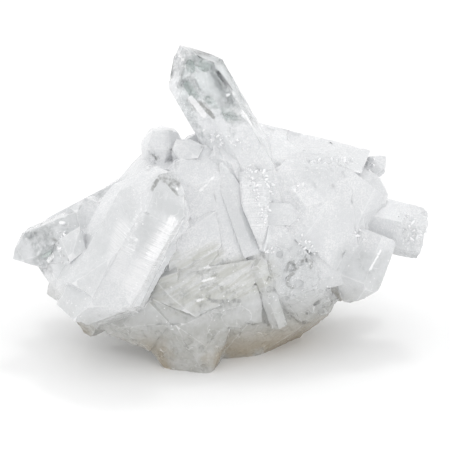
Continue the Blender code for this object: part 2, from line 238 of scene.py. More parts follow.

# %% [markdown]
# ## Pits, and marks in the skin
# Small pits with steep walls stand where other grains were once grown on the quartz. A
# pit is a ball-shaped place with a depth. Marks are thin streaks that reach the skin.
# Dark marks are healed cracks and strokes, some holding clay, and painted shade at the
# rims and floors of pits and on the front point's hood. White marks are white veils and
# painted highlights: glints, sheens, a glow and light lines along edges. A mark is a
# bent rod: a few points, a reach and a strength.

# %% Pits and marks
PITS = (
    ("deep pit", (16.2, -17.1, 25.1), 1.5, 1.0),
    ("upper pit", (20.4, -15.4, 26.9), 1.3, 0.8),
    ("left pit", (13.6, -16.4, 28.1), 0.9, 0.5),
    ("right pit", (18.3, -16.6, 20.6), 1.2, 0.7),
    ("low pit", (11.3, -17.8, 19.9), 0.9, 0.5),
    ("foot pit", (14.9, -15.9, 16.6), 1.1, 0.6),
    ("lump's first pit", (-16.5, -1.7, 47.3), 0.8, 0.6),
    ("lump's second pit", (-15.5, -2.1, 46.8), 0.9, 0.6),
    ("lump's third pit", (-15.9, -2.1, 45.8), 0.7, 0.5),
    ("saddle's pit", (-10.7, -6.8, 46.9), 0.8, 0.5),
    ("saddle's small pit", (-11.5, -4.8, 47.1), 0.7, 0.4),
)
# Dark marks: healed cracks, clay and grey strokes, and painted shade on the pit rims, the pit floor and the hood.
DARK_MARKS_AND_PAINTED_SHADE = (
    ("tall point's clay streak", ((-5.0, -3.4, 61.0), (-2.1, -5.4, 58.3)), 0.9, 0.8),
    ("tall point's grey stroke", ((-8.2, -1.0, 61.0), (-6.9, -1.6, 58.8)), 0.6, 0.5),
    ("hood's left stroke", ((-15.8, -21.6, 46.0), (-14.5, -19.5, 47.5)), 0.6, 0.7),
    ("hood's inner line", ((-14.0, -19.1, 47.6), (-12.4, -19.0, 46.6), (-9.9, -19.8, 44.0)), 0.5, 0.7),
    ("hood's shade", ((-13.6, -18.4, 48.0), (-10.2, -18.2, 46.2)), 1.6, 0.5),
    ("hood's right line", ((-9.2, -18.0, 44.5), (-8.3, -19.3, 42.8)), 0.5, 0.6),
    ("left point's crack", ((-39.4, -11.3, 30.2), (-36.8, -14.0, 29.6)), 0.8, 0.6),
    ("plates' crack", ((-2.9, -21.3, 18.7), (0.6, -20.6, 18.0), (4.1, -18.7, 17.4)), 0.8, 0.6),
    ("brown speck", ((23.0, -11.7, 13.9), (23.1, -11.6, 13.7)), 0.7, 0.9),
    ("deep pit's rim", ((15.0, -17.3, 24.6), (15.5, -16.9, 26.0), (16.9, -16.6, 26.4), (17.8, -16.7, 24.9),
                        (16.9, -17.2, 23.6), (15.7, -17.5, 22.7), (15.5, -17.4, 21.2), (16.7, -17.0, 20.0)),
     0.8, 0.5),
    ("upper pit's rim", ((19.2, -16.0, 26.1), (20.2, -15.4, 27.2), (21.4, -14.9, 25.7), (20.9, -15.6, 24.7)),
     0.8, 0.5),
    ("lump's pit floor", ((-16.5, -1.7, 47.3), (-15.5, -2.1, 46.8)), 0.6, 0.6),
)
# White marks: a few white veils, and painted highlights: glints, sheens, a glow, a light band and light lines along
# edges.
WHITE_MARKS_AND_PAINTED_HIGHLIGHTS = (
    ("tall point's sliver", ((1.3, -2.6, 62.7), (2.9, -0.7, 62.6)), 0.5, 1.0),
    ("tall point's window", ((-7.1, -1.7, 61.5), (-4.3, -3.6, 58.4)), 1.4, 1.0),
    ("tall point's right glow", ((5.2, -3.5, 58.6), (6.6, -3.6, 56.2)), 1.3, 0.8),
    ("hood's fleck", ((-10.2, -18.8, 45.3), (-10.1, -18.9, 45.1)), 0.45, 1.0),
    ("wedge's frost", ((6.6, -12.3, 43.4), (9.4, -15.5, 36.4)), 5.0, 0.5),
    ("glint", ((-4.9, -12.0, 42.4), (-1.8, -10.4, 45.2)), 0.45, 0.8),
    ("front point's edge", ((-9.0, -22.2, 38.3), (-10.9, -22.5, 34.0), (-13.0, -21.5, 28.5), (-15.0, -22.5, 24.0)), 1.0, 0.7),
    ("front point's sheen", ((-11.0, -24.6, 39.2), (-13.3, -25.8, 35.7), (-15.8, -26.5, 31.6)), 2.0, 0.7),
    ("front point's inner sheen", ((-12.6, -25.5, 38.4), (-14.6, -26.0, 35.4)), 1.8, 0.5),
    ("blade's patch", ((-21.4, -26.2, 37.3), (-20.0, -26.8, 35.6), (-20.7, -27.1, 33.3)), 1.8, 0.5),
    ("light band", ((-16.4, -23.1, 44.7), (-17.7, -25.8, 42.5), (-20.0, -26.5, 38.9)), 1.9, 0.45),
    ("left point's glint", ((-37.9, -8.6, 33.2), (-37.0, -8.4, 33.0)), 0.6, 1.0),
    ("left point's low glint", ((-38.3, -13.4, 28.6), (-37.6, -14.2, 28.4)), 0.6, 1.0),
    ("plates' high sparkle", ((-4.0, -17.4, 25.2), (-2.7, -17.3, 25.5)), 0.5, 1.0),
    ("plates' sparkle", ((-4.4, -18.9, 22.5), (-1.4, -18.7, 23.4)), 0.4, 1.0),
    ("plates' low sparkle", ((-5.6, -21.3, 18.6), (-4.2, -21.3, 19.0)), 0.45, 1.0),
    ("low prism's edge", ((37.5, -10.6, 27.1), (34.9, -12.9, 22.9)), 0.45, 0.9),
)


def near_rods(points, rods):
    """Up to a rod's strength inside it and 0 outside, with a soft border."""
    found = np.zeros(len(points))
    for _, bends, reach, strength in rods:
        for start, end in zip(np.array(bends[:-1]), np.array(bends[1:])):
            way = end - start
            along = np.clip((points - start) @ way / (way @ way), 0, 1)
            away = np.linalg.norm(points - start - along[:, None] * way, axis=1)
            found = np.maximum(found, strength * np.clip(2.0 - 2.0 * away / reach, 0.0, 1.0))
    return found


def near_pits(points, wall=1.0):
    """The depth of the pits at each point: flat floors, and walls as a share of the radius."""
    found = np.zeros(len(points))
    for _, centre, radius, deep in PITS:
        away = np.linalg.norm(points - np.array(centre), axis=1) / radius
        found = np.maximum(found, deep * np.clip((1.0 - away) / wall, 0.0, 1.0))
    return found


print(len(PITS), "pits,", len(DARK_MARKS_AND_PAINTED_SHADE), "dark marks,", len(WHITE_MARKS_AND_PAINTED_HIGHLIGHTS), "white marks")

# %% [markdown]
# ## A finer mesh
# Relief needs points to move. Edges are split where they are too long, more often on
# rough places than on the clean faces and most often at pits and marks, until the mesh
# is fine enough. In one round a triangle has one edge split at most, so that it falls
# into two clean triangles and the mesh stays closed.

# %% Split long edges
SMOOTH_EDGE = 1.3
ROUGH_EDGE = 0.55
MARK_EDGE = 0.34
SPLIT_ROUNDS = 24


def edges_to_split(bm):
    """The longest edge of each triangle that is too coarse, at most one on each triangle."""
    bm.edges.ensure_lookup_table()
    bm.edges.index_update()
    bm.faces.index_update()
    middle = np.array([(edge.verts[0].co + edge.verts[1].co) / 2 for edge in bm.edges]) / MM
    length = np.array([edge.calc_length() for edge in bm.edges]) / MM
    rough = roughness_at(middle)
    allowed = SMOOTH_EDGE + (ROUGH_EDGE - SMOOTH_EDGE) * np.clip(rough * 2.0, 0.0, 1.0)
    marked = near_rods(middle, DARK_MARKS_AND_PAINTED_SHADE + WHITE_MARKS_AND_PAINTED_HIGHLIGHTS) + near_pits(middle)
    allowed = np.where(marked > 0.0, MARK_EDGE, allowed)
    wanted = set()
    for index in np.flatnonzero(length > allowed * 1.25):
        for face in bm.edges[index].link_faces:
            wanted.add(max(face.edges, key=lambda edge: length[edge.index]).index)
    chosen, taken = [], set()
    for index in sorted(wanted, key=lambda index: -length[index]):
        edge = bm.edges[index]
        if taken.isdisjoint(face.index for face in edge.link_faces):
            taken.update(face.index for face in edge.link_faces)
            chosen.append(edge)
    return chosen


def refine(piece):
    bpy.context.view_layer.objects.active = piece
    bpy.ops.object.mode_set(mode="EDIT")
    bpy.ops.mesh.select_all(action="SELECT")
    bpy.ops.mesh.quads_convert_to_tris(ngon_method="BEAUTY")
    bpy.ops.mesh.select_mode(type="EDGE")
    for _ in range(SPLIT_ROUNDS):
        bpy.ops.mesh.select_all(action="DESELECT")
        bm = bmesh.from_edit_mesh(piece.data)
        chosen = edges_to_split(bm)
        if not chosen:
            break
        for edge in chosen:
            edge.select_set(True)
        bmesh.update_edit_mesh(piece.data)
        bpy.ops.mesh.subdivide(number_cuts=1, ngon=False)
    bpy.ops.object.mode_set(mode="OBJECT")


refine(cluster)
print("triangles after splitting:", len(cluster.data.polygons))

# %% [markdown]
# ## Relief
# Three kinds of relief are pressed into the faces, never out of them, so the cluster
# keeps its size: low terraces on the grown faces, a hackly break on the rough places,
# and worn, chipped edges. The ripples of a conchoidal break run round the point where
# the blow fell.

# %% Press the relief in
TERRACE_DEPTH = 0.05
BREAK_DEPTH = 0.55
GRAIN_DEPTH = 0.16
EDGE_WEAR = 0.10
CHIP_DEPTH = 0.45
RIPPLE_DEPTH = 0.09
RIPPLE_STEP = 1.5
PIT_WALL = 0.35
SMALL_PIT_SPACING = 2.3
SMALL_PIT_DEPTH = 0.4
BLOWS = ((-30, -30, 8), (-12, -24, 26), (12, -18, 30), (30, -20, 40), (-5, -30, 2))


def points_of(piece):
    flat = np.empty(len(piece.data.vertices) * 3)
    piece.data.vertices.foreach_get("co", flat)
    return flat.reshape(-1, 3) / MM


def sharp_points(piece):
    """1 at points on the outward edges of the crystals, 0 elsewhere."""
    bm = bmesh.new()
    bm.from_mesh(piece.data)
    sharp = np.zeros(len(bm.verts))
    for edge in bm.edges:
        if len(edge.link_faces) == 2 and edge.calc_face_angle_signed(0.0) > math.radians(14):
            for vert in edge.verts:
                sharp[vert.index] = 1.0
    bm.free()
    return sharp


def noise_at(points, size, octaves=3):
    """Soft noise from -1 to 1 with features of about the size, in millimetres."""
    return np.array([noise.fractal(Vector(point) / size, 1.0, 2.0, octaves) for point in points])


def small_pits(points, rough):
    """Small pits of uneven size, strewn over the rough places."""
    found = np.zeros(len(points))
    for index in np.flatnonzero(rough > 0.35):
        distances, centres = noise.voronoi(Vector(points[index]) / SMALL_PIT_SPACING)
        size = 0.28 + 0.30 * noise.noise(centres[0] * 5.0)
        found[index] = SMALL_PIT_DEPTH * min(max((size - distances[0]) / 0.12, 0.0), 1.0)
    return found


def press_relief(piece):
    points = points_of(piece)
    normals = np.empty(len(points) * 3)
    piece.data.vertices.foreach_get("normal", normals)
    normals = normals.reshape(-1, 3)
    rough = roughness_at(points)
    sharp = sharp_points(piece)
    broad = noise_at(points, 5.0)
    fine = noise_at(points + 40.0, 1.4)
    terrace = np.floor((broad + 1.0) * 3.0) / 6.0
    depth = TERRACE_DEPTH * terrace * (1.0 - rough)
    depth += rough * (BREAK_DEPTH * np.abs(broad) + GRAIN_DEPTH * np.abs(fine) * 2.0)
    away = np.min([np.linalg.norm(points - np.array(blow), axis=1) for blow in BLOWS], axis=0)
    depth += rough * RIPPLE_DEPTH * (0.5 + 0.5 * np.sin(away * math.tau / RIPPLE_STEP))
    chip = np.clip(noise_at(points + 90.0, 2.6) * 2.4 - 0.55, 0.0, 1.0)
    depth += sharp * (EDGE_WEAR * (0.5 + 0.5 * fine) + CHIP_DEPTH * chip)
    depth += np.maximum(near_pits(points, PIT_WALL), small_pits(points, rough))
    moved = points - normals * depth[:, None]
    moved[points[:, 2] < 0.02, 2] = 0.0
    piece.data.vertices.foreach_set("co", (moved * MM).ravel())
    piece.data.update()
    return points, rough, sharp, depth


grown_points, rough, sharp, depth = press_relief(cluster)
print("deepest relief %.2f mm" % depth.max())

# %% [markdown]
# ## Clear and milky zones
# Quartz turns milky where it holds tiny bubbles. Young tips are clear and old roots are
# white. Each clear zone is a rod from a point's tip to its root: clarity is full at the
# tip and runs out at the root. The values are written on the mesh, so that the material
# can read them.

# %% Write clarity, roughness, edges, marks and zones on the mesh
CLEAR_RODS = (
    ("tall point", (-9.6, 7.0, 71.9), (2.0, 0.0, 54.5), 9.0, 0.78),
    ("left point", (-49.0, -9.0, 24.4), (-36.0, -5.0, 29.0), 8.5, 0.36),
    ("front point's tip", (-11.0, -18.0, 48.0), (-12.0, -19.0, 45.5), 2.6, 0.22),
    ("low prism", (37.0, -10.0, 22.0), (30.0, -9.0, 22.5), 6.5, 0.12),
    ("small corner point", (39.5, 8.0, 44.0), (36.0, 7.0, 41.0), 4.0, 0.2),
    ("lower plates", (-8.0, -18.0, 19.0), (7.0, -16.0, 22.0), 9.0, 0.18),
    ("left slope", (-34.0, 3.0, 31.0), (-24.0, 4.0, 36.0), 5.0, 0.3),
    ("back point", (0.0, 37.0, 37.0), (0.5, 26.0, 32.0), 8.0, 0.3),
    ("back left point", (-31.0, 30.0, 27.0), (-23.0, 22.0, 26.0), 8.0, 0.28),
    ("back stem", (15.0, 37.0, 20.0), (13.5, 28.0, 18.5), 7.0, 0.28),
    ("side point", (43.0, 18.0, 20.0), (35.0, 14.0, 20.5), 6.0, 0.28),
)


def clarity_at(points):
    found = np.zeros(len(points))
    for _, tip, root, reach, strength in CLEAR_RODS:
        tip, root = np.array(tip), np.array(root)
        along = (points - tip) @ (root - tip) / ((root - tip) @ (root - tip))
        nearest = tip + np.clip(along, 0.0, 1.0)[:, None] * (root - tip)
        away = np.linalg.norm(points - nearest, axis=1) / reach
        rod = np.clip(2.2 - 2.0 * away, 0.0, 1.0) * np.clip(1.7 - along * 1.2, 0.0, 1.0)
        found = np.maximum(found, strength * np.clip(rod, 0.0, 1.0))
    return found


def write_value(piece, name, values):
    field = piece.data.attributes.new(name, "FLOAT", "POINT")
    field.data.foreach_set("value", np.asarray(values, dtype=np.float32))


PLATES = (
    ("lower plate", ((-11.0, -20.0, 19.0), (8.0, -17.0, 23.0)), 6.5, 1.0),
    ("upper plate", ((-9.0, -16.5, 26.0), (-2.0, -16.0, 28.0)), 3.5, 1.0),
    ("small facet", ((-15.0, -20.0, 18.0), (-13.0, -20.0, 20.0)), 3.0, 1.0),
    ("blade's foot", ((-14.3, -19.9, 20.7), (-10.8, -18.1, 28.0)), 2.4, 0.8),
)
# Painted sheen: bands on the front point and the blade are painted whiter, with fine cross lines, as a reflection would
# show.
PAINTED_SHEEN_BANDS = (
    ("front point's silk", ((-11.5, -25.0, 37.0), (-19.5, -26.5, 25.0)), 4.2, 1.0),
    ("blade's silk", ((-22.0, -24.0, 37.0), (-24.0, -26.0, 28.0)), 3.4, 0.8),
)
# Grey zones: partly glassier, less milky quartz, and partly painted shade. Faces that turn from the light, the top of
# the right block and the place under the plates are painted greyer.
GLASSY_AND_PAINTED_SHADE_ZONES = (
    ("front point", ((-13.0, -19.5, 47.0), (-12.6, -21.5, 43.5), (-14.5, -25.0, 40.0), (-17.6, -26.3, 35.0)), 5.0, 1.0),
    ("front point's right face", ((-9.2, -22.1, 40.7), (-11.7, -24.8, 35.4), (-16.9, -24.8, 23.9)), 2.6, 1.0),
    ("blade", ((-24.0, -20.0, 40.0), (-30.0, -22.0, 22.0)), 11.0, 0.7),
    ("left point", ((-46.0, -9.8, 29.0), (-38.0, -9.0, 32.0)), 9.0, 1.0),
    ("right block's top", ((22.0, -3.0, 45.0), (34.0, 3.0, 44.0)), 8.0, 0.3),
    ("left flank", ((-34.0, -17.1, 30.8), (-36.2, -17.2, 26.6)), 6.0, 0.9),
    ("stub", ((49.0, 0.0, 26.0), (41.0, 0.0, 26.0)), 8.0, 0.6),
    ("left slope", ((-36.0, -3.0, 32.0), (-24.0, 0.0, 38.0)), 6.0, 0.4),
    ("pitted patch", ((17.0, -16.0, 25.0), (15.0, -16.0, 19.0)), 9.0, 0.9),
    ("right block's foot", ((30.0, -10.0, 18.0), (22.0, -12.0, 16.0)), 8.0, 0.6),
    ("low prism", ((30.7, -11.8, 24.0), (37.0, -10.6, 22.0)), 6.5, 1.0),
    ("under the plates", ((-14.0, -19.0, 13.0), (6.0, -17.0, 13.0)), 9.0, 1.0),
)
# Painted glints: zones where white specks are painted into the colour, as glitter would catch the light.
PAINTED_GLINT_ZONES = (
    ("wedge's left edge", ((7.1, -12.3, 43.8), (8.0, -13.7, 40.6), (9.4, -16.7, 33.1)), 2.6, 1.0),
    ("wedge's right edge", ((11.3, -11.3, 42.3), (9.4, -15.5, 36.4)), 2.6, 0.8),
    ("band on the right top", ((19.6, -3.7, 47.1), (25.5, -3.4, 46.5), (31.0, 0.5, 45.7)), 2.2, 1.0),
    ("tall point's root", ((-4.0, -6.0, 54.0), (8.0, -6.0, 50.0)), 4.5, 0.8),
    ("wedge's face", ((7.0, -12.6, 42.7), (9.4, -15.5, 36.4)), 4.5, 0.7),
    ("stub", ((47.0, -3.0, 30.0), (47.0, -3.0, 22.0)), 6.0, 1.0),
    ("right flank", ((30.2, -10.4, 31.3), (36.0, -6.0, 20.0)), 3.0, 0.8),
    ("pitted patch", ((14.0, -17.0, 30.0), (23.0, -14.0, 27.0)), 3.0, 0.8),
)

MILKY_SPOTS = (
    ("tall point's tip", ((-9.6, 7.0, 71.9), (-9.4, 4.5, 69.5)), 5.5, 0.42),
    ("tall point's left edge", ((-10.4, 2.5, 68.0), (-11.0, 2.5, 63.0)), 3.0, 0.4),
    ("tall point's waist", ((-4.0, -3.0, 58.6), (-1.6, -4.6, 55.8)), 3.6, 0.22),
    ("left point's tip", ((-49.0, -9.0, 24.4), (-47.0, -9.0, 25.0)), 5.0, 0.25),
)

clarity = clarity_at(grown_points) - near_rods(grown_points, MILKY_SPOTS)
write_value(cluster, "clarity", clarity)
write_value(cluster, "plate", near_rods(grown_points, PLATES))
# The silk bands: painted sheen.
write_value(cluster, "painted_sheen", near_rods(grown_points, PAINTED_SHEEN_BANDS))
write_value(cluster, "rough", rough)
# Painted glints: more on the rough places above the foot, fewer on the foot.
painted_glint_share = np.clip(rough, 0, 1) * np.clip((grown_points[:, 2] - 16.0) / 6.0, -0.3, 1.0)
write_value(cluster, "painted_glint_share", painted_glint_share + near_rods(grown_points, PAINTED_GLINT_ZONES))
# Grey zones: glassy grey and painted shade.
write_value(cluster, "grey", near_rods(grown_points, GLASSY_AND_PAINTED_SHADE_ZONES))
# The edge value marks the outward edges, where a painted highlight goes.
write_value(cluster, "edge", sharp)
# Dark marks, partly painted shade.
write_value(cluster, "dark_mark_and_painted_shade", near_rods(grown_points, DARK_MARKS_AND_PAINTED_SHADE))
# White marks, mostly painted highlights.
write_value(cluster, "white_mark_and_painted_highlight", near_rods(grown_points, WHITE_MARKS_AND_PAINTED_HIGHLIGHTS))
print("clear share of the surface: %.0f%%" % (100 * (clarity > 0.5).mean()))

# %% [markdown]
# ## Growth lines follow the faces
# The material draws growth lines with a UV map: across the map runs the width of the
# face, and up the map runs its length, both in metres, so the lines have one spacing on
# every crystal.

# %% UV map along each face
def map_faces(piece):
    mesh = piece.data
    numbers = np.empty(len(mesh.polygons), dtype=int)
    mesh.attributes["crystal_face"].data.foreach_get("value", numbers)
    corner_face = np.repeat(numbers, 3)
    corner_point = np.empty(len(mesh.loops), dtype=int)
    mesh.loops.foreach_get("vertex_index", corner_point)
    places = grown_points[corner_point] * MM
    along = face_long[corner_face]
    across = np.cross(face_normal[corner_face], along)
    layer = mesh.uv_layers.new(name="growth")
    both = np.stack([(places * across).sum(axis=1), (places * along).sum(axis=1)], axis=1)
    layer.data.foreach_set("uv", both.ravel())


map_faces(cluster)
print("UV map runs along each of the", len(face_area), "faces")

# %% [markdown]
# ## Crisp edges between faces
# Relief would make a crystal look worn if all of it were shaded smooth. So the shading
# is smooth inside each face of a crystal and breaks where two faces meet. On the rough
# breaks every triangle is shaded flat, because a hackly break is a mass of tiny facets.

# %% Sharp edges, flat breaks
CRISP_FROM = math.radians(5)
FLAT_FROM = 0.45


def crisp(piece):
    bm = bmesh.new()
    bm.from_mesh(piece.data)
    number = bm.faces.layers.int["crystal_face"]
    level = bm.verts.layers.float["rough"]
    for face in bm.faces:
        face.smooth = sum(vert[level] for vert in face.verts) < 3 * FLAT_FROM
    crisp_edges = 0
    for edge in bm.edges:
        one, other = (face[number] for face in edge.link_faces)
        turn = Vector(face_normal[one]).angle(Vector(face_normal[other]), 0.0)
        if one != other and turn > CRISP_FROM:
            edge.smooth = False
            crisp_edges += 1
    bm.to_mesh(piece.data)
    bm.free()
    return crisp_edges


print("crisp edges:", crisp(cluster))

# %% [markdown]
# ## The quartz
# One stone, so one material. Where clarity is high it is plain glass with quartz's own
# IOR of 1.544. Where it is low, most of the light is scattered back white under the
# same glassy skin. Growth lines and the hackly grain of the breaks are bump.

# %% Quartz material
QUARTZ_IOR = 1.544
MILK_WHITE = (0.96, 0.962, 0.97, 1.0)
CLOUD_GREY = (0.79, 0.803, 0.82, 1.0)
GLASSY_AND_PAINTED_SHADE_GREY = (0.70, 0.715, 0.725, 1.0)
MARK_AND_PAINTED_SHADE_GREY = (0.36, 0.365, 0.36, 1.0)
CRACK_WHITE = (0.97, 0.97, 0.98, 1.0)
# The white of the painted sheen.
PAINTED_SHEEN_WHITE = (0.96, 0.96, 0.97, 1.0)
PLATE_OLIVE = (0.66, 0.665, 0.63, 1.0)
CLEAR_TINT = (0.80, 0.84, 0.845, 1.0)
RUST = (0.47, 0.41, 0.32, 1.0)
# The grey of the painted shade towards the bottom.
PAINTED_LOW_SHADE_GREY = (0.51, 0.51, 0.485, 1.0)
MILK_PASSES = 0.14
ABSORB_TINT = (0.82, 0.87, 0.87, 1.0)
ABSORB_DENSITY = 4.0
STREAK_RISE = math.radians(27)
STREAK_SIZE = (0.009, 0.0033, 0.0009)
CRACK_CELL = 165.0
CRACK_WIDTH = 0.022
PAINTED_GLINT_CELL = 1800.0


class Nodes:
    """Short names for adding and joining a material's nodes."""

    def __init__(self, material):
        material.use_nodes = True
        self.tree = material.node_tree
        self.shader = self.tree.nodes["Principled BSDF"]
        self.output = self.tree.nodes["Material Output"]

    def add(self, kind, **settings):
        node = self.tree.nodes.new("ShaderNode" + kind)
        for key, value in settings.items():
            setattr(node, key, value)
        return node

    def join(self, source, target):
        self.tree.links.new(source, target)

    def value(self, name):
        return self.add("Attribute", attribute_name=name).outputs["Fac"]

    def math(self, operation, first, second):
        node = self.add("Math", operation=operation, use_clamp=False)
        for socket, given in zip(node.inputs, (first, second)):
            if isinstance(given, (int, float)):
                socket.default_value = given
            else:
                self.join(given, socket)
        return node.outputs[0]

    def range(self, source, low, high, to_low, to_high):
        node = self.add("MapRange", interpolation_type="SMOOTHSTEP")
        self.join(source, node.inputs["Value"])
        for name, given in zip(("From Min", "From Max", "To Min", "To Max"),
                               (low, high, to_low, to_high)):
            node.inputs[name].default_value = given
        return node.outputs[0]

    def blend(self, share, first, second):
        node = self.add("Mix", data_type="RGBA")
        self.join(share, node.inputs["Factor"])
        for name, given in (("A", first), ("B", second)):
            socket = [item for item in node.inputs if item.name == name and item.type == "RGBA"][0]
            if isinstance(given, tuple):
                socket.default_value = given
            else:
                self.join(given, socket)
        return [item for item in node.outputs if item.type == "RGBA"][0]

    def cloud(self, where, scale, detail=4.0, roughness=0.55):
        node = self.add("TexNoise")
        self.join(where, node.inputs["Vector"])
        node.inputs["Scale"].default_value = scale
        node.inputs["Detail"].default_value = detail
        node.inputs["Roughness"].default_value = roughness
        return node.outputs["Fac"]


    def lines(self, uv, across, along):
        """Lines that run across the face: stretched noise in the growth map."""
        stretch = self.add("Mapping")
        stretch.inputs["Scale"].default_value = (across, along, 1.0)
        self.join(uv, stretch.inputs["Vector"])
        noise_node = self.add("TexNoise", noise_dimensions="2D")
        noise_node.inputs["Scale"].default_value = 1.0
        noise_node.inputs["Detail"].default_value = 3.0
        self.join(stretch.outputs[0], noise_node.inputs["Vector"])
        return noise_node.outputs["Fac"]

    def streaks(self, where):
        """Streaks that climb to the right across the broken plates."""
        turn = self.add("Mapping", vector_type="TEXTURE")
        turn.inputs["Rotation"].default_value = (0.0, -STREAK_RISE, 0.0)
        turn.inputs["Scale"].default_value = STREAK_SIZE
        self.join(where, turn.inputs["Vector"])
        noise_node = self.add("TexNoise")
        noise_node.inputs["Scale"].default_value = 1.0
        noise_node.inputs["Detail"].default_value = 3.0
        self.join(turn.outputs[0], noise_node.inputs["Vector"])
        return noise_node.outputs["Fac"]

    def cracks(self, where, wisps):
        """Fine white healed cracks: the borders of warped cells, broken up by the wisps."""
        warp = self.add("TexNoise")
        warp.inputs["Scale"].default_value = 220.0
        self.join(where, warp.inputs["Vector"])
        shift = self.add("VectorMath", operation="MULTIPLY_ADD")
        self.join(warp.outputs["Color"], shift.inputs[0])
        shift.inputs[1].default_value = (0.006, 0.006, 0.006)
        self.join(where, shift.inputs[2])
        cells = self.add("TexVoronoi", feature="DISTANCE_TO_EDGE")
        cells.inputs["Scale"].default_value = CRACK_CELL
        self.join(shift.outputs[0], cells.inputs["Vector"])
        line = self.range(cells.outputs["Distance"], 0.0, CRACK_WIDTH, 0.55, 0.0)
        return self.math("MULTIPLY", line, self.range(wisps, 0.48, 0.62, 0.0, 1.0))

    def painted_glints(self, where, painted_glint_share):
        """Painted glints: bright specks painted into the colour, where tiny facets would catch the light."""
        cells = self.add("TexVoronoi")
        cells.inputs["Scale"].default_value = PAINTED_GLINT_CELL
        self.join(where, cells.inputs["Vector"])
        pick = self.add("SeparateColor")
        self.join(cells.outputs["Color"], pick.inputs[0])
        chosen = self.math("ADD", pick.outputs[0], self.math("MULTIPLY", painted_glint_share, 0.14))
        chosen = self.range(chosen, 0.970, 0.980, 0.0, 0.9)
        return self.math("MULTIPLY", chosen, self.range(cells.outputs["Distance"], 0.45, 0.25, 0.0, 1.0))


